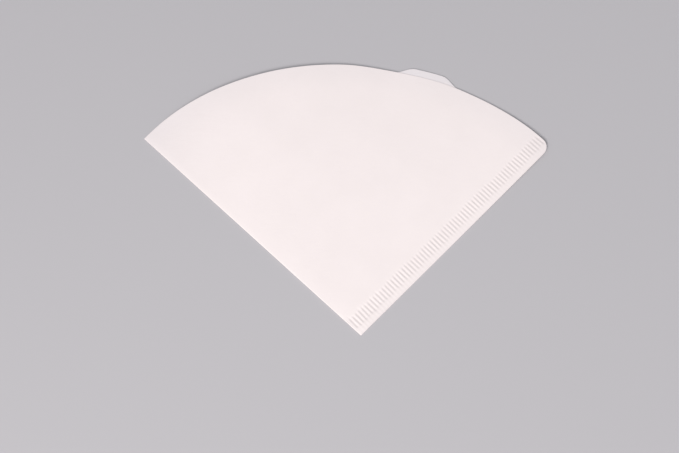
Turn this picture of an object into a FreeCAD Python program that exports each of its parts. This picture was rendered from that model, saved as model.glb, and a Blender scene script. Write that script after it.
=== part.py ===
import FreeCAD, Part
import math
import os

# Paper coffee filter for a cone dripper, folded flat and lying on its back ply.
# One sheet: a fold on one straight side, a crimped seam on the other, an open mouth
# along the round rim, and a pull tab on the back ply.
# It is drawn with X along the seam, Y along the fold and Z up from the ground. The fold
# stands square to the seam, because a cone of sixty degrees flattens to a quarter disc.

# Outline of the folded sheet, in millimetres
rim_radius = 118.0
corner_radius = 5.0

# How far the rim swells out between the tab and the corner beside the seam
corner_swell = 1.2

# Rounder bend of the rim along its last run up to the fold
bend_radius = 80.0
bend_run = 20.5

# Paper, and the room between its two plies
paper_thickness = 0.22
ply_gap = 0.12
mouth_crown = 2.0
crown_run = 40.0

# Crimped seam, whose strokes lean away from the fold by an angle in degrees
crimp_margin = 3.1
crimp_length = 4.9
crimp_to_apex = 4.1
crimp_first = 1.9
crimp_last = 1.0
crimp_pitch = 1.73
crimp_width = 1.1
crimp_floor = 0.4
crimp_depth = 0.16
crimp_lean = 2.6

# Tab on the back ply, placed by its angle in degrees about the apex from the seam. Its top
# stands lower on the fold side, by its fall.
tab_angle = 24.7
tab_width = 12.1
tab_height = 3.4
tab_fall = 0.5
tab_flank = 8.8
tab_root = 4.0

# Shallow hollow of the rim behind the tab, deepest where the tab ends on the fold side
hollow_depth = 0.9
hollow_run = 25.0

# Cutting tools run this far past what they trim
overrun = 3.0

# Worked out from the sizes above
apex_along_fold = crimp_margin + crimp_length + crimp_to_apex
apex = FreeCAD.Vector(0, apex_along_fold, 0)
corner_reach = rim_radius + corner_swell
crimp_reach = math.sqrt(corner_reach ** 2 - (crimp_to_apex + crimp_length / 2) ** 2)
flat_height = 2 * paper_thickness + ply_gap
fold_axis = flat_height / 2
section_reach = rim_radius + tab_height + overrun
tab_half_top = math.degrees(tab_width / 2 / rim_radius)
tab_half_base = math.degrees((tab_width / 2 + tab_flank) / rim_radius)
tab_start = tab_angle - tab_half_base
tab_end = tab_angle + tab_half_base
hollow_end = tab_end + math.degrees(hollow_run / rim_radius)
hollow_radius = rim_radius - hollow_depth
bend_start = 90 - math.degrees(bend_run / rim_radius)


def rim_point(radius, angle):
    """Point at a radius and an angle from the seam, both about the apex."""
    turn = math.radians(angle)
    return apex + FreeCAD.Vector(radius * math.cos(turn), radius * math.sin(turn), 0)


def rim_arc(radius, start, end):
    """Arc about the apex from one angle to another."""
    middle = (start + end) / 2
    return Part.Arc(rim_point(radius, start), rim_point(radius, middle), rim_point(radius, end)).toShape()


def rim_step(start_radius, start, end_radius, end):
    """Soft step of the outline from one radius to another, level with the rim at both ends."""
    third = math.radians(end - start) * rim_radius / 3
    first = rim_point(start_radius, start)
    last = rim_point(end_radius, end)
    along_first = (rim_point(1, start + 90) - apex) * third
    along_last = (rim_point(1, end + 90) - apex) * third
    curve = Part.BezierCurve()
    curve.setPoles([first, first + along_first, last - along_last, last])
    return curve.toShape()


def line(start, end):
    return Part.LineSegment(start, end).toShape()


def section(along_fold, crown, wall):
    """Closed section beside the fold, of the room between the plies grown by a wall."""
    low = paper_thickness - wall
    high = paper_thickness + ply_gap + wall

    def at(along_seam, height):
        return FreeCAD.Vector(along_seam, along_fold, height)

    level = FreeCAD.Vector(1, 0, 0)
    fold_high = at(fold_axis, high)
    crest = at(crown_run, high + crown)
    far_high = at(section_reach, high)
    top = Part.BSplineCurve()
    top.interpolate(
        Points=[fold_high, crest, far_high],
        Tangents=[level, level, far_high - crest],
        TangentFlags=[True, True, True],
    )
    edges = [
        line(at(fold_axis, low), fold_high),
        top.toShape(),
        line(far_high, at(section_reach, low)),
        line(at(section_reach, low), at(fold_axis, low)),
    ]
    return Part.Wire(edges)


def fold_roll(start, end, wall):
    """Half round of the fold, between two places along it."""
    radius = ply_gap / 2 + wall
    top = FreeCAD.Vector(fold_axis, start, fold_axis + radius)
    side = FreeCAD.Vector(fold_axis - radius, start, fold_axis)
    bottom = FreeCAD.Vector(fold_axis, start, fold_axis - radius)
    half_disc = Part.Face(Part.Wire([Part.Arc(top, side, bottom).toShape(), line(bottom, top)]))
    return half_disc.extrude(FreeCAD.Vector(0, end - start, 0))


def flat_stretch(start, end, wall):
    """The plies lying together, between two places along the fold."""
    plies = Part.Face(section(start, 0, wall)).extrude(FreeCAD.Vector(0, end - start, 0))
    return plies.fuse(fold_roll(start, end, wall))


def opening_stretch(wall):
    """The plies parting from the apex to past the mouth."""
    length = rim_radius + overrun
    end = apex_along_fold + length
    crown = mouth_crown * length / rim_radius
    plies = Part.makeLoft([section(apex_along_fold, 0, wall), section(end, crown, wall)], True, True)
    return plies.fuse(fold_roll(apex_along_fold, end, wall))


def outline_prism():
    """Sector of the folded sheet, with its rounded corner and its rim's swell, hollow and bend."""
    inner_reach = corner_reach - corner_radius
    corner_center_x = math.sqrt(inner_reach ** 2 - (apex_along_fold - corner_radius) ** 2)
    corner_center = FreeCAD.Vector(corner_center_x, corner_radius, 0)
    to_corner = corner_center - apex
    rim_start = math.degrees(math.atan2(to_corner.y, to_corner.x))
    corner_start = corner_center + FreeCAD.Vector(0, -corner_radius, 0)
    corner_end = rim_point(corner_reach, rim_start)
    across = corner_start + corner_end - corner_center * 2
    corner_middle = corner_center + across.normalize() * corner_radius
    bend_center = rim_point(rim_radius - bend_radius, bend_start)
    past_fold = bend_center + FreeCAD.Vector(-bend_center.x - overrun, 0, 0)
    past_fold.y += math.sqrt(bend_radius ** 2 - (bend_center.x + overrun) ** 2)
    fold_start = FreeCAD.Vector(past_fold.x, 0, 0)
    bend_first = rim_point(rim_radius, bend_start)
    across_bend = bend_first + past_fold - bend_center * 2
    bend_middle = bend_center + across_bend.normalize() * bend_radius
    edges = [
        line(fold_start, corner_start),
        Part.Arc(corner_start, corner_middle, corner_end).toShape(),
        rim_step(corner_reach, rim_start, rim_radius, tab_start),
        rim_step(rim_radius, tab_start, hollow_radius, tab_end),
        rim_step(hollow_radius, tab_end, rim_radius, hollow_end),
        rim_arc(rim_radius, hollow_end, bend_start),
        Part.Arc(bend_first, bend_middle, past_fold).toShape(),
        line(past_fold, fold_start),
    ]
    prism_height = flat_height + mouth_crown + overrun
    return Part.Face(Part.Wire(edges)).extrude(FreeCAD.Vector(0, 0, prism_height))


def tab():
    """Pull tab, one ply thick, rooted in the back ply."""
    low_top = tab_angle - tab_half_top
    high_top = tab_angle + tab_half_top
    inner = rim_radius - tab_root
    low_outer = rim_radius + tab_height
    high_outer = low_outer - tab_fall
    top_middle = rim_point((low_outer + high_outer) / 2, tab_angle)
    top = Part.Arc(rim_point(high_outer, high_top), top_middle, rim_point(low_outer, low_top))
    edges = [
        rim_arc(inner, tab_start, tab_end),
        line(rim_point(inner, tab_end), rim_point(hollow_radius, tab_end)),
        rim_step(hollow_radius, tab_end, high_outer, high_top),
        top.toShape(),
        rim_step(low_outer, low_top, rim_radius, tab_start),
        line(rim_point(rim_radius, tab_start), rim_point(inner, tab_start)),
    ]
    return Part.Face(Part.Wire(edges)).extrude(FreeCAD.Vector(0, 0, paper_thickness))


def flute(along_seam, surface, side):
    """One pressed stroke of the crimp, sunk into the face on its side of the seam."""
    lip = surface + side * crimp_depth
    floor = surface - side * crimp_depth
    lip_width = 2 * crimp_width - crimp_floor
    drift = crimp_length * math.tan(math.radians(crimp_lean))
    start = along_seam - drift / 2

    def at(across, height):
        return FreeCAD.Vector(start + across, crimp_margin, height)

    corners = [
        at(-lip_width / 2, lip),
        at(-crimp_floor / 2, floor),
        at(crimp_floor / 2, floor),
        at(lip_width / 2, lip),
    ]
    face = Part.Face(Part.makePolygon(corners + corners[:1]))
    return face.extrude(FreeCAD.Vector(drift, crimp_length, 0))


def crimp_flutes():
    """Strokes from above, with strokes from below between them."""
    room = crimp_reach - crimp_first - crimp_last
    count = int(room / crimp_pitch) + 1
    places = [crimp_first + index * crimp_pitch for index in range(count)]
    upper = [flute(place, flat_height, 1) for place in places]
    lower = [flute(place + crimp_pitch / 2, 0, -1) for place in places[:-1]]
    return Part.makeCompound(upper + lower)


def filter_sheet():
    """The whole folded sheet: outer form, less the room between plies and the crimp."""
    crimp_end = crimp_margin + crimp_length
    outer = flat_stretch(-overrun, apex_along_fold, paper_thickness).fuse(opening_stretch(paper_thickness))
    pocket = flat_stretch(crimp_end, apex_along_fold, 0).fuse(opening_stretch(0))
    margin = flat_stretch(-overrun, crimp_margin, 0)
    sheet = outer.common(outline_prism())
    sheet = sheet.cut(pocket)
    sheet = sheet.cut(margin)
    sheet = sheet.fuse(tab())
    sheet = sheet.cut(crimp_flutes())
    return sheet.removeSplitter()


def place_in_frame(shape):
    """Turn the tip towards -Y and put the origin under the middle of the sheet."""
    bisector = FreeCAD.Vector(1, 1, 0)
    turn = FreeCAD.Rotation(bisector, FreeCAD.Vector(0, 1, 0))
    turned = shape.copy()
    turned.rotate(FreeCAD.Vector(0, 0, 0), turn.Axis, math.degrees(turn.Angle))
    box = turned.optimalBoundingBox(False, False)
    turned.translate(FreeCAD.Vector(-box.Center.x, -box.Center.y, -box.ZMin))
    return turned


os.makedirs("parts", exist_ok=True)
folded_filter = place_in_frame(filter_sheet())
folded_filter.exportStep("parts/folded_filter.step")
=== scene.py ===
import math

import bpy
import numpy as np
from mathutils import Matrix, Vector


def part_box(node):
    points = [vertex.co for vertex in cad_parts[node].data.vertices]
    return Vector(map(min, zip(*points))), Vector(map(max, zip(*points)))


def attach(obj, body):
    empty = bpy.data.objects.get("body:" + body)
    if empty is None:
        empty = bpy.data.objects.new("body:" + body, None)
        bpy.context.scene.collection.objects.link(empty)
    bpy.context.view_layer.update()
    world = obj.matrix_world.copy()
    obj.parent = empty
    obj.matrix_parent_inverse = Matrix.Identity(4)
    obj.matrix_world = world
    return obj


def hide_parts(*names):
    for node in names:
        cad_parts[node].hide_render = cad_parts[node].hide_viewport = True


# Paper coffee filter for a cone dripper, folded flat. All lengths are in metres, and the
# angles named here are in degrees. Those of the outline are about the apex, from the seam.
# The sheet is drawn in its own plane: s runs along the seam, away from the fold, and
# n runs along the fold, away from the cut edge of the seam.

MM = 0.001
NODE = "folded_filter"

# Outline, as in the solid
rim_radius = 118.0 * MM
corner_radius = 5.0 * MM
corner_swell = 1.2 * MM
bend_radius = 80.0 * MM
bend_run = 20.5 * MM
tab_angle = 24.7
tab_width = 12.1 * MM
tab_height = 3.4 * MM
tab_fall = 0.5 * MM
tab_flank = 8.8 * MM
hollow_depth = 0.9 * MM
hollow_run = 25.0 * MM

# Paper, and the room between its two plies. At the mouth it is highest at the end of the
# crown's run, and from there it would close at an overrun past the tab.
paper_thickness = 0.22 * MM
ply_gap = 0.12 * MM
mouth_crown = 2.0 * MM
crown_run = 40.0 * MM
crown_overrun = 3.0 * MM

# Crimped seam. The margin outside it has a share of its relief.
crimp_margin = 3.1 * MM
crimp_length = 4.9 * MM
crimp_to_apex = 4.1 * MM
crimp_first = 1.9 * MM
crimp_last = 1.0 * MM
crimp_pitch = 1.73 * MM
crimp_relief = 0.18 * MM
crimp_lean = 2.6
crimp_fade = 1.2 * MM
margin_share = 0.15
pressed_thickness = 0.19 * MM

# How far one stroke differs from the next, in depth, at its ends and in its lean
uneven_depth = 0.2
uneven_end = 0.3 * MM
uneven_lean = 2.0
uneven_seed = 7

# How the paper curls at the corner of seam and rim, and waves at the mouth
corner_curl = 1.05 * MM
curl_start = 40.0 * MM
curl_width = 75.0 * MM
mouth_wave = 0.12 * MM
wave_length = 58.0 * MM

# How the front ply springs up beside the fold, and where that fades towards the mouth
fold_spring = 0.17 * MM
spring_run = 7.0 * MM
spring_fall = 30.0 * MM
spring_fade_start = 60.0 * MM
spring_fade_end = 105.0 * MM

# How the back ply rises to the front ply at the tab
lift_share = 0.97
lift_run = 30.0 * MM
lift_spread = 24.0

# Painted shade, as what the paper's colour is multiplied by: in the grooves of a stroke, towards the
# rim, at the fold's end and on the tab
unshaded = (1.0, 1.0, 1.0)
groove_painted_shade = (0.91, 0.907, 0.905)
rim_painted_shade = (0.965, 0.969, 0.975)
rim_shade_run = 14.0 * MM
fold_end_painted_shade = (0.948, 0.952, 0.960)
fold_end_run = 45.0 * MM
fold_end_width = 60.0 * MM
tab_painted_shade = (0.90, 0.928, 0.956)

# The paper's own colour: between two whites, by soft clouds and a share of fine flecks
cloud_noise = {"Scale": 55.0, "Detail": 3.0, "Roughness": 0.55}
fleck_noise = {"Scale": 1300.0, "Detail": 3.0, "Roughness": 0.7}
fleck_share = 0.35
darker_white = (0.880, 0.802, 0.793, 1)
darker_place = 0.3
lighter_white = (0.912, 0.832, 0.824, 1)
lighter_place = 0.7

# The paper's relief, felted fibres on a crepe that is stretched along X, and its gloss
fibre_noise = {"Scale": 2600.0, "Detail": 4.0, "Roughness": 0.7, "Distortion": 1.5}
fibre_height = 0.06 * MM
crepe_noise = {"Scale": 700.0, "Detail": 2.0}
crepe_stretch = (0.35, 1.0, 1.0)
crepe_height = 0.12 * MM
relief_strength = 0.3
paper_roughness = 0.9
paper_specular = 0.25

# Floor, lamps and world
floor_half = 1.5
floor_colour = (0.50, 0.485, 0.505, 1)
floor_roughness = 0.7
key_lamp = {"place": (-0.56, -1.19, 1.19), "size": 0.75, "power": 28.8, "colour": (1.0, 0.985, 0.97)}
fill_lamp = {"place": (0.55, 0.35, 0.95), "size": 0.9, "power": 2.4, "colour": (0.97, 0.98, 1.0)}
world_colour = (0.95, 0.96, 1.0, 1)
world_strength = 0.34

# How finely the sheet is drawn
fine_columns = 592
columns_per_wide = 8
corner_rows = 7
band_row = 0.4 * MM
rim_step = 1.5
tab_step = 0.5
roll_steps = 8

# The photograph's view. Its width and focal length are in pixels, the sensor's width is in
# millimetres, and the camera has a real place from the tip of the sheet.
photo_width = 679
photo_focal = 1300
sensor_width = 36.0
view_azimuth = 1.062
view_elevation = 66.024
camera_from_tip = Vector((-11.87, -173.23, 498.77)) * MM

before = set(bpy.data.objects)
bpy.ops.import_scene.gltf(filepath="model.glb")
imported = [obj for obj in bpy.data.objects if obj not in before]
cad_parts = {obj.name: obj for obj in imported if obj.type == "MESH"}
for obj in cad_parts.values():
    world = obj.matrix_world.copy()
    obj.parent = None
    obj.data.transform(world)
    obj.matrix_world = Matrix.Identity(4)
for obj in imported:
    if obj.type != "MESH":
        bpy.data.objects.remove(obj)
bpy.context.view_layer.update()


def bend_reach(past_start):
    """Radius about the apex of the rim's bend, at an angle in radians past the bend's start."""
    center_reach = rim_radius - bend_radius
    across = center_reach * np.sin(past_start)
    return center_reach * np.cos(past_start) + np.sqrt(bend_radius ** 2 - across ** 2)


# Worked out from the sizes above
apex_n = crimp_margin + crimp_length + crimp_to_apex
fold_axis = paper_thickness + ply_gap / 2
roll_radius = (ply_gap + paper_thickness) / 2
section_reach = rim_radius + tab_height + crown_overrun
corner_reach = rim_radius + corner_swell
crimp_reach = math.sqrt(corner_reach ** 2 - (crimp_to_apex + crimp_length / 2) ** 2)
crimp_count = int((crimp_reach - crimp_first - crimp_last) / crimp_pitch) + 1
crimp_stop = crimp_first + (crimp_count - 1) * crimp_pitch
flat_height = 2 * paper_thickness + ply_gap
seam_direction = Vector((1, 1, 0)).normalized()
fold_direction = Vector((-1, 1, 0)).normalized()
low_corner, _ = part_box(NODE)
tab_half_top = math.degrees(tab_width / 2 / rim_radius)
tab_half_base = math.degrees((tab_width / 2 + tab_flank) / rim_radius)
tab_start = tab_angle - tab_half_base
tab_end = tab_angle + tab_half_base
hollow_end = tab_end + math.degrees(hollow_run / rim_radius)
bend_start = 90 - math.degrees(bend_run / rim_radius)
fold_reach = bend_reach(math.radians(90 - bend_start))
fold_length = apex_n + fold_reach
tip = Vector((low_corner.x - fold_length * fold_direction.x, low_corner.y, 0))
corner_center_s = math.sqrt((corner_reach - corner_radius) ** 2 - (apex_n - corner_radius) ** 2)
rim_start = math.degrees(math.atan2(corner_radius - apex_n, corner_center_s))
wide_columns = fine_columns // columns_per_wide

# Strokes of the crimp, none quite like the next
chance = np.random.default_rng(uneven_seed)
stroke_s = crimp_first + crimp_pitch * np.arange(crimp_count)
stroke_depth = 1 + uneven_depth * chance.uniform(-1, 1, crimp_count)
stroke_low_end = uneven_end * chance.uniform(-1, 1, crimp_count)
stroke_high_end = uneven_end * chance.uniform(-1, 1, crimp_count)
stroke_lean = crimp_lean + uneven_lean * chance.uniform(-1, 1, crimp_count)


def smooth_step(x):
    """Rises from nought to one with x, level at both ends."""
    x = np.clip(x, 0, 1)
    return x * x * (3 - 2 * x)


def seam_end(n):
    """How far the sheet reaches along the seam at n, on the rim or the rounded corner."""
    angle = math.degrees(math.asin((n - apex_n) / corner_reach))
    on_rim = math.sqrt(rim_reach(angle) ** 2 - (n - apex_n) ** 2)
    if n >= corner_radius:
        return on_rim
    on_corner = corner_center_s + math.sqrt(corner_radius ** 2 - (corner_radius - n) ** 2)
    return min(on_rim, on_corner)


def crown(s, n):
    """How far the front ply stands up towards the mouth, most along a line behind the fold."""
    rise = smooth_step((s - fold_axis) / (crown_run - fold_axis))
    x = np.clip((s - crown_run) / (section_reach - crown_run), 0, 1)
    fall = x ** 3 - 2 * x ** 2 + 1
    wave = mouth_wave * np.sin(2 * math.pi * (s - fold_axis) / wave_length)
    opening = np.clip((n - apex_n) / rim_radius, 0, None)
    return opening * (mouth_crown * np.where(s < crown_run, rise, fall) + wave * (1 - x))


def spring(s, n):
    """How far the front ply springs up beside the fold, before it comes down again."""
    x = np.clip((s - fold_axis) / spring_run, 0, 1)
    fall = 1 - smooth_step((s - spring_run) / spring_fall)
    fade = 1 - smooth_step((n - spring_fade_start) / (spring_fade_end - spring_fade_start))
    return fold_spring * (2 - x) * x * fall * fade


def curl(s, n):
    """How far both plies curl up at the corner of seam and rim."""
    along = np.clip((s - curl_start) / (rim_radius - curl_start), 0, None)
    across = np.clip(1 - n / curl_width, 0, 1)
    return corner_curl * (along * across) ** 2


def tab_lift(s, n):
    """How far the back ply rises towards the front ply at the tab."""
    from_apex = np.hypot(s, n - apex_n)
    angle = np.degrees(np.arctan2(n - apex_n, s))
    towards_rim = smooth_step(1 - (rim_radius - from_apex) / lift_run)
    near_tab = smooth_step(1 - np.abs(angle - tab_angle) / lift_spread)
    return lift_share * (ply_gap + crown(s, n)) * towards_rim * near_tab


def crimp_ease(inside):
    """Rises from nought to one across an end of the crimped band, by how far inside it a place is."""
    return smooth_step(inside / crimp_fade + 1 / 2)


def crimped(s, n):
    """One inside the crimped band, easing off at its ends, with a trace of it in the margin."""
    band_start = crimp_first - crimp_pitch / 2
    band_stop = crimp_stop + crimp_pitch / 2 + crimp_fade / 2
    low_end = crimp_margin + np.interp(s, stroke_s, stroke_low_end)
    high_end = crimp_margin + crimp_length + np.interp(s, stroke_s, stroke_high_end)
    from_fold = smooth_step((s - fold_axis) / (band_start - fold_axis))
    from_edge = margin_share + (1 - margin_share) * crimp_ease(n - low_end)
    return from_fold * from_edge * crimp_ease(band_stop - s) * crimp_ease(high_end - n)


def ridge(s, n):
    """How near a place in the band is to the top between two strokes, from nought to one."""
    middle = crimp_margin + crimp_length / 2
    lean = np.radians(np.interp(s, stroke_s, stroke_lean))
    upright = s - (n - middle) * np.tan(lean)
    return (1 - np.cos(2 * math.pi * (upright - crimp_first) / crimp_pitch)) / 2


def ply_thickness(s, n):
    """The paper is squeezed a little where it is crimped."""
    return paper_thickness - (paper_thickness - pressed_thickness) * crimped(s, n)


def ply_height(is_front, s, n):
    """Height of the middle of a ply."""
    wave = crimp_relief * np.interp(s, stroke_s, stroke_depth) * ridge(s, n)
    if is_front:
        plain = flat_height - paper_thickness / 2 + crown(s, n) + spring(s, n)
        pressed = pressed_thickness + pressed_thickness / 2 + wave
    else:
        plain = paper_thickness / 2 + tab_lift(s, n)
        pressed = pressed_thickness / 2 + wave
    return plain + (pressed - plain) * crimped(s, n) + curl(s, n)


def with_painted_shade(strength, painted_shade):
    """Plain where the strength is nought, the painted shade where it is one."""
    return 1 + strength[:, None] * (np.array(painted_shade) - unshaded)


def ply_painted_shade(is_front, s, n):
    """Painted shade of the paper against the plain sheet: darker in the grooves of the crimp, towards
    the rim, at the fold's end, and on the tab where the back ply lies single.
    """
    from_apex = np.hypot(s, n - apex_n)
    near_mouth = smooth_step(1 - (fold_length - n) / fold_end_run)
    near_fold_end = near_mouth * smooth_step(1 - s / fold_end_width)
    # Painted shade in the grooves between the crimp's ridges
    painted_shade = with_painted_shade(crimped(s, n) * (1 - ridge(s, n)), groove_painted_shade)
    # Painted shade towards the rim
    painted_shade = painted_shade * with_painted_shade(smooth_step(1 - (rim_radius - from_apex) / rim_shade_run), rim_painted_shade)
    # Painted shade at the fold's end, by the mouth
    painted_shade = painted_shade * with_painted_shade(near_fold_end, fold_end_painted_shade)
    if is_front:
        return painted_shade
    # Painted shade on the tab, darker and bluer, where the back ply lies single past the front ply's
    # rim
    angle = np.degrees(np.arctan2(n - apex_n, s))
    past_rim = smooth_step((from_apex - rim_reach(angle)) / paper_thickness + 1)
    return painted_shade + past_rim[:, None] * (np.array(tab_painted_shade) - painted_shade)


def rim_reach(angle):
    """Radius of the rim about the apex, with its swell, its hollow and its bend towards the fold."""
    swell = smooth_step((tab_start - angle) / (tab_start - rim_start))
    sink = smooth_step((angle - tab_start) / (tab_end - tab_start))
    rise = smooth_step((hollow_end - angle) / (hollow_end - tab_end))
    bend = bend_reach(np.radians(np.clip(angle - bend_start, 0, None)))
    return bend + corner_swell * swell - hollow_depth * sink * rise


def tab_reach(angle):
    """Radius of the back ply's rim, which carries the tab."""
    flank = tab_half_base - tab_half_top
    on_tab = smooth_step((angle - tab_start) / flank) * smooth_step((tab_end - angle) / flank)
    across_top = np.clip((angle - tab_angle + tab_half_top) / (2 * tab_half_top), 0, 1)
    top = rim_radius + tab_height - tab_fall * across_top
    return rim_reach(angle) + (top - rim_reach(angle)) * on_tab


def spread(start, end, step):
    """Places from start to end, about a step apart, without the last one."""
    return np.linspace(start, end, round((end - start) / step), endpoint=False)


def rim_angles():
    """Angles about the apex along the rim, from the seam to the fold."""
    fold_angle = math.degrees(math.acos(fold_axis / fold_reach))
    before = spread(0, tab_start, rim_step)
    tab = spread(tab_start, tab_end, tab_step)
    after = spread(tab_end, fold_angle, rim_step)
    return [*before, *tab, *after, fold_angle]


class Sheet:
    """Middle surface of the paper: points in the sheet's own axes, thicknesses, painted shade and
    faces.
    """

    def __init__(self):
        self.points = []
        self.thickness = []
        self.painted_shade = []
        self.faces = []

    def add(self, s, n, z, thickness, painted_shade):
        self.points.append((s, n, z))
        self.thickness.append(thickness)
        self.painted_shade.append((*painted_shade, 1))
        return len(self.points) - 1

    def add_row(self, is_front, s_values, n_values):
        s = np.asarray(s_values, float)
        n = np.asarray(n_values, float)
        z = ply_height(is_front, s, n)
        thickness = ply_thickness(s, n)
        painted_shade = ply_painted_shade(is_front, s, n)
        return [self.add(*values) for values in zip(s, n, z, thickness, painted_shade)]

    def strip(self, low, high, flip):
        """Quads between two rows of as many points."""
        for i in range(len(low) - 1):
            face = [low[i], low[i + 1], high[i + 1], high[i]]
            self.faces.append(face[::-1] if flip else face)

    def widen(self, fine, wide, flip):
        """Triangles between a fine row and one with a point for every few of its points."""
        half = columns_per_wide // 2
        for j in range(len(wide) - 1):
            start = j * columns_per_wide
            group = fine[start:start + columns_per_wide + 1]
            triangles = [[wide[j], group[i], group[i + 1]] for i in range(half)]
            triangles.append([wide[j], group[half], wide[j + 1]])
            triangles += [[wide[j + 1], group[i], group[i + 1]] for i in range(half, columns_per_wide)]
            self.faces += [t[::-1] if flip else t for t in triangles]


def add_seam_side(sheet, is_front):
    """A ply from the seam's cut edge to the apex. Returns its points at the fold, and its last row."""
    flip = not is_front

    def seam_row(n, columns):
        s = fold_axis + (seam_end(n) - fold_axis) * np.linspace(0, 1, columns + 1)
        return sheet.add_row(is_front, s, np.full(columns + 1, n))

    turn = math.acos(1 - (crimp_margin - crimp_fade / 2) / corner_radius)
    margin_n = [corner_radius * (1 - math.cos(a)) for a in np.linspace(0, turn, corner_rows)]
    band_end = crimp_margin + crimp_length + crimp_fade / 2
    band_rows = round((band_end - margin_n[-1]) / band_row)
    band_n = np.linspace(margin_n[-1], band_end, band_rows + 1)[1:]
    rows = [seam_row(n, fine_columns) for n in [*margin_n, *band_n]]
    for low, high in zip(rows, rows[1:]):
        sheet.strip(low, high, flip)
    past_band = seam_row((band_end + apex_n) / 2, wide_columns)
    sheet.widen(rows[-1], past_band, flip)
    ray = seam_row(apex_n, wide_columns)
    sheet.strip(past_band, ray, flip)
    return [row[0] for row in [*rows, past_band, ray]], ray


def add_fan(sheet, is_front, ray):
    """A ply from its row at the apex round to the fold. Returns its points along the fold."""
    flip = not is_front
    share = np.linspace(0, 1, wide_columns + 1)[1:]
    apex_point = ray[0]
    ray = ray[1:]
    for angle in rim_angles()[1:]:
        radius = rim_reach(angle) if is_front else tab_reach(angle)
        rim_s = radius * math.cos(math.radians(angle))
        rim_n = radius * math.sin(math.radians(angle))
        s = fold_axis + (rim_s - fold_axis) * share
        next_ray = sheet.add_row(is_front, s, apex_n + rim_n * share)
        first = [apex_point, ray[0], next_ray[0]]
        sheet.faces.append(first[::-1] if flip else first)
        sheet.strip(ray, next_ray, flip)
        ray = next_ray
    return ray


def add_ply(sheet, is_front):
    """One ply. Returns its points along the fold, from the tip to the mouth."""
    fold, ray = add_seam_side(sheet, is_front)
    return fold + add_fan(sheet, is_front, ray)


def add_fold(sheet, front_edge, back_edge):
    """The round of the fold, joining both plies."""
    rows = [front_edge]
    for step in range(1, roll_steps):
        turn = math.pi / 2 + math.pi * step / roll_steps
        row = []
        for point in front_edge:
            n = sheet.points[point][1]
            s = fold_axis + roll_radius * math.cos(turn)
            z = fold_axis + roll_radius * math.sin(turn)
            row.append(sheet.add(s, n, z, paper_thickness, sheet.painted_shade[point][:3]))
        rows.append(row)
    rows.append(back_edge)
    for low, high in zip(rows, rows[1:]):
        sheet.strip(low, high, False)


def point_normals(points, faces):
    """Normals of the middle surface at its points, weighted by area."""
    normals = np.zeros_like(points)
    for size in (3, 4):
        group = np.array([f for f in faces if len(f) == size])
        corners = points[group]
        # The two diagonals of a quad, or two sides of a triangle
        across = np.cross(corners[:, 2] - corners[:, 0], corners[:, -1] - corners[:, 1])
        for i in range(size):
            np.add.at(normals, group[:, i], across)
    return normals / np.linalg.norm(normals, axis=1, keepdims=True)


def open_edges(faces):
    """Edges that belong to one face only, in that face's direction."""
    edges = {}
    for face in faces:
        for a, b in zip(face, face[1:] + face[:1]):
            key = (min(a, b), max(a, b))
            edges[key] = None if key in edges else (a, b)
    return [edge for edge in edges.values() if edge]


def paper_mesh(sheet):
    """The sheet with its thickness: both faces, and the cut edge all round."""
    points = np.array(sheet.points)
    half = np.array(sheet.thickness)[:, None] / 2
    normals = point_normals(points, sheet.faces)
    both = np.vstack([points + normals * half, points - normals * half])
    axes = np.array([seam_direction, fold_direction, (0, 0, 1)])
    world = both @ axes + np.array(tip)
    count = len(points)
    inside = [[i + count for i in reversed(face)] for face in sheet.faces]
    cut_edges = open_edges(sheet.faces)
    rim = [[b, a, a + count, b + count] for a, b in cut_edges]
    mesh = bpy.data.meshes.new("filter_sheet")
    mesh.from_pydata(world.tolist(), [], sheet.faces + inside + rim)
    mesh.validate()
    mesh.polygons.foreach_set("use_smooth", [True] * len(mesh.polygons))
    outline = {frozenset(edge) for edge in cut_edges}
    outline |= {frozenset((a + count, b + count)) for a, b in cut_edges}
    sharp = [frozenset(edge.vertices) in outline for edge in mesh.edges]
    mesh.attributes.new("sharp_edge", "BOOLEAN", "EDGE").data.foreach_set("value", sharp)
    # Painted shade at each point, which the material multiplies the paper's colour by
    painted_shade = mesh.color_attributes.new("painted_shade", "FLOAT_COLOR", "POINT")
    painted_shade.data.foreach_set("color", np.ravel(sheet.painted_shade + sheet.painted_shade))
    mesh.update()
    return mesh


def add_object(name, data):
    added = bpy.data.objects.new(name, data)
    bpy.context.scene.collection.objects.link(added)
    return added


def make_filter():
    sheet = Sheet()
    front_edge = add_ply(sheet, True)
    back_edge = add_ply(sheet, False)
    add_fold(sheet, front_edge, back_edge)
    piece = add_object("filter_sheet", paper_mesh(sheet))
    piece.data.materials.append(paper_material())
    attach(piece, "root")
    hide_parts(NODE)


def node(tree, kind, **values):
    """A new shader node, with values for its sockets and its settings."""
    made = tree.nodes.new(kind)
    for name, value in values.items():
        if name in made.inputs:
            made.inputs[name].default_value = value
        else:
            setattr(made, name, value)
    return made


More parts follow.
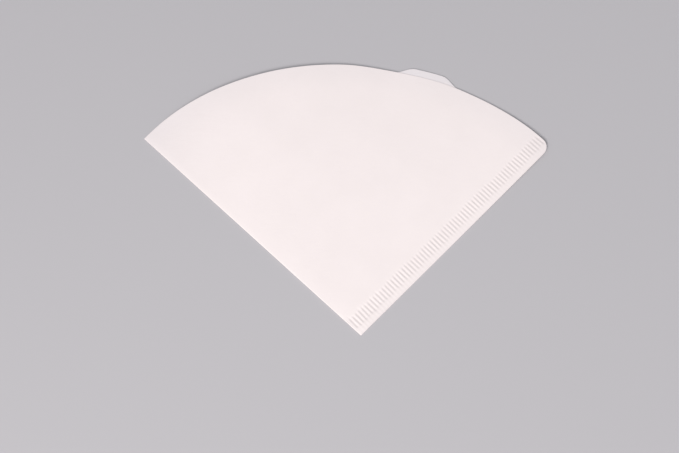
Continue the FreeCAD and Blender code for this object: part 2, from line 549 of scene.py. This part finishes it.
def paper_colour(tree, place):
    """White with a breath of rose, softly clouded, and darkened by the painted shade that the mesh
    carries.
    """
    cloud = node(tree, "ShaderNodeTexNoise", **cloud_noise)
    fleck = node(tree, "ShaderNodeTexNoise", **fleck_noise)
    tree.links.new(place, cloud.inputs["Vector"])
    tree.links.new(place, fleck.inputs["Vector"])
    blend = node(tree, "ShaderNodeMix", Factor=fleck_share)
    tree.links.new(cloud.outputs["Fac"], blend.inputs["A"])
    tree.links.new(fleck.outputs["Fac"], blend.inputs["B"])
    ramp = node(tree, "ShaderNodeValToRGB")
    low, high = ramp.color_ramp.elements
    low.position = darker_place
    low.color = darker_white
    high.position = lighter_place
    high.color = lighter_white
    tree.links.new(blend.outputs["Result"], ramp.inputs["Fac"])

    # Painted shade from the mesh, multiplied into the paper's colour
    painted_shade = node(tree, "ShaderNodeAttribute", attribute_name="painted_shade")
    greyed = node(tree, "ShaderNodeMix", data_type="RGBA", blend_type="MULTIPLY", Factor=1.0)
    tree.links.new(ramp.outputs["Color"], greyed.inputs["A"])
    tree.links.new(painted_shade.outputs["Color"], greyed.inputs["B"])
    return greyed.outputs["Result"]


def paper_relief(tree, place):
    """Fine felted fibres on a faint crepe that runs across the sheet."""
    fibre = node(tree, "ShaderNodeTexNoise", **fibre_noise)
    crepe = node(tree, "ShaderNodeTexNoise", **crepe_noise)
    stretch = node(tree, "ShaderNodeMapping", Scale=crepe_stretch)
    tree.links.new(place, fibre.inputs["Vector"])
    tree.links.new(place, stretch.inputs["Vector"])
    tree.links.new(stretch.outputs["Vector"], crepe.inputs["Vector"])
    fine_bump = node(tree, "ShaderNodeBump", Strength=relief_strength, Distance=fibre_height)
    wide_bump = node(tree, "ShaderNodeBump", Strength=relief_strength, Distance=crepe_height)
    tree.links.new(fibre.outputs["Fac"], fine_bump.inputs["Height"])
    tree.links.new(crepe.outputs["Fac"], wide_bump.inputs["Height"])
    tree.links.new(wide_bump.outputs["Normal"], fine_bump.inputs["Normal"])
    return fine_bump.outputs["Normal"]


def new_material(name):
    """A new material, and its shader."""
    material = bpy.data.materials.new(name)
    material.use_nodes = True
    return material, material.node_tree.nodes["Principled BSDF"]


def paper_material():
    """White filter paper: soft, matt, and finely creped."""
    material, shader = new_material("filter_paper")
    tree = material.node_tree
    place = node(tree, "ShaderNodeTexCoord").outputs["Object"]
    tree.links.new(paper_colour(tree, place), shader.inputs["Base Color"])
    tree.links.new(paper_relief(tree, place), shader.inputs["Normal"])
    shader.inputs["Roughness"].default_value = paper_roughness
    shader.inputs["Specular IOR Level"].default_value = paper_specular
    return material


def floor_material():
    material, shader = new_material("pale_floor")
    shader.inputs["Base Color"].default_value = floor_colour
    shader.inputs["Roughness"].default_value = floor_roughness
    return material


def make_floor():
    corners = [(-1, -1), (1, -1), (1, 1), (-1, 1)]
    mesh = bpy.data.meshes.new("floor")
    points = [(x * floor_half, y * floor_half, 0) for x, y in corners]
    mesh.from_pydata(points, [], [range(len(points))])
    mesh.materials.append(floor_material())
    floor = add_object("floor", mesh)


def make_lamp(name, place, size, power, colour):
    """A square lamp that looks at the middle of the sheet."""
    data = bpy.data.lights.new(name, "AREA")
    data.size = size
    data.energy = power
    data.color = colour
    lamp = add_object(name, data)
    lamp.location = place
    lamp.rotation_euler = (-Vector(place)).to_track_quat("-Z", "Y").to_euler()


def make_lights():
    make_lamp("key", **key_lamp)
    make_lamp("fill", **fill_lamp)
    world = bpy.data.worlds.new("studio")
    world.use_nodes = True
    background = world.node_tree.nodes["Background"]
    background.inputs["Color"].default_value = world_colour
    background.inputs["Strength"].default_value = world_strength
    bpy.context.scene.world = world


def make_camera():
    data = bpy.data.cameras.new("camera")
    data.sensor_width = sensor_width
    data.lens = sensor_width * photo_focal / photo_width
    camera = add_object("camera", data)
    azimuth = math.radians(view_azimuth)
    elevation = math.radians(view_elevation)
    level = math.cos(elevation)
    forward = Vector((math.sin(azimuth) * level, math.cos(azimuth) * level, -math.sin(elevation)))
    camera.location = tip + camera_from_tip
    camera.rotation_euler = forward.to_track_quat("-Z", "Y").to_euler()
    bpy.context.scene.camera = camera


bpy.context.scene.view_settings.view_transform = "Standard"
make_camera()
make_floor()
make_lights()
make_filter()
